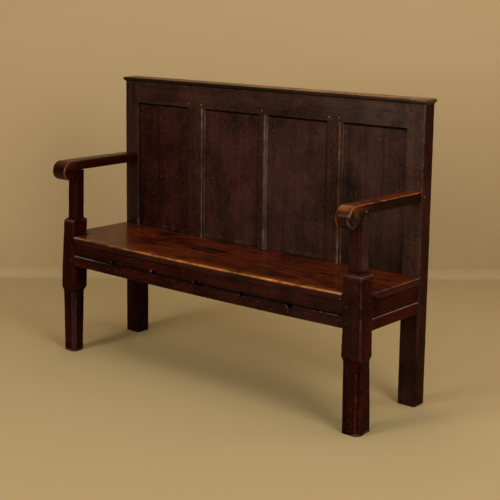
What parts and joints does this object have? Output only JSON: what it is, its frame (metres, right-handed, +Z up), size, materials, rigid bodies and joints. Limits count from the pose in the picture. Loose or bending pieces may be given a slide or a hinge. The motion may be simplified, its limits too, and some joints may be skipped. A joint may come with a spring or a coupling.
{
  "type": "settle bench",
  "caption": "Joined oak settle: panelled back with moulded crest, scroll-ended arms on square stepped posts, wide plank seat over moulded rails, pegged mortise and tenon joints.",
  "frame": {"origin": "middle of the footprint, on the floor under the feet", "axes": "+X along the length, to the right in a front view; +Y from the front to the back; +Z up"},
  "size_m": [1.406, 0.4862, 1.0633],
  "materials": {
    "dark_oak_frame": "old waxed oak, dark red brown, worn pale on its arrises",
    "dark_oak_back": "old waxed oak, nearly black brown with a dull sheen",
    "oak_panels": "old waxed oak, dark reddish brown, faintly clouded",
    "seat_plank": "polished oak, glossy red brown, golden on the worn front edge",
    "worn_arms": "polished oak, orange brown on the worn tops, darker below",
    "pegs": "end grain of riven oak pegs, dull dark brown"
  },
  "bodies": {
    "root": {"left_front_post": "dark_oak_frame", "right_front_post": "dark_oak_frame", "left_rear_stile": "dark_oak_back", "right_rear_stile": "dark_oak_back", "front_seat_rail": "dark_oak_frame", "left_end_rail": "dark_oak_frame", "right_end_rail": "dark_oak_frame", "rear_seat_rail": "dark_oak_back", "back_top_rail": "dark_oak_back", "crest_board": "dark_oak_back", "left_muntin": "dark_oak_back", "middle_muntin": "dark_oak_back", "right_muntin": "dark_oak_back", "far_left_panel": "oak_panels", "centre_left_panel": "oak_panels", "centre_right_panel": "oak_panels", "far_right_panel": "oak_panels", "seat_plank": "seat_plank", "left_arm": "worn_arms", "right_arm": "worn_arms", "left_front_rail_peg_upper": "pegs", "left_front_rail_peg_lower": "pegs", "right_front_rail_peg_upper": "pegs", "right_front_rail_peg_lower": "pegs", "left_end_rail_front_peg_upper": "pegs", "left_end_rail_front_peg_lower": "pegs", "right_end_rail_front_peg_upper": "pegs", "right_end_rail_front_peg_lower": "pegs", "left_end_rail_rear_peg_upper": "pegs", "left_end_rail_rear_peg_lower": "pegs", "right_end_rail_rear_peg_upper": "pegs", "right_end_rail_rear_peg_lower": "pegs", "left_rear_rail_peg_upper": "pegs", "left_rear_rail_peg_lower": "pegs", "right_rear_rail_peg_upper": "pegs", "right_rear_rail_peg_lower": "pegs", "left_top_rail_peg_upper": "pegs", "left_top_rail_peg_lower": "pegs", "right_top_rail_peg_upper": "pegs", "right_top_rail_peg_lower": "pegs", "left_arm_front_peg": "pegs", "right_arm_front_peg": "pegs", "left_arm_rear_peg": "pegs", "right_arm_rear_peg": "pegs", "left_muntin_top_peg_left": "pegs", "left_muntin_top_peg_right": "pegs", "middle_muntin_top_peg": "pegs", "right_muntin_top_peg_left": "pegs", "right_muntin_top_peg_right": "pegs", "left_muntin_foot_peg": "pegs", "middle_muntin_foot_peg": "pegs", "right_muntin_foot_peg": "pegs"}
  },
  "joints": []
}
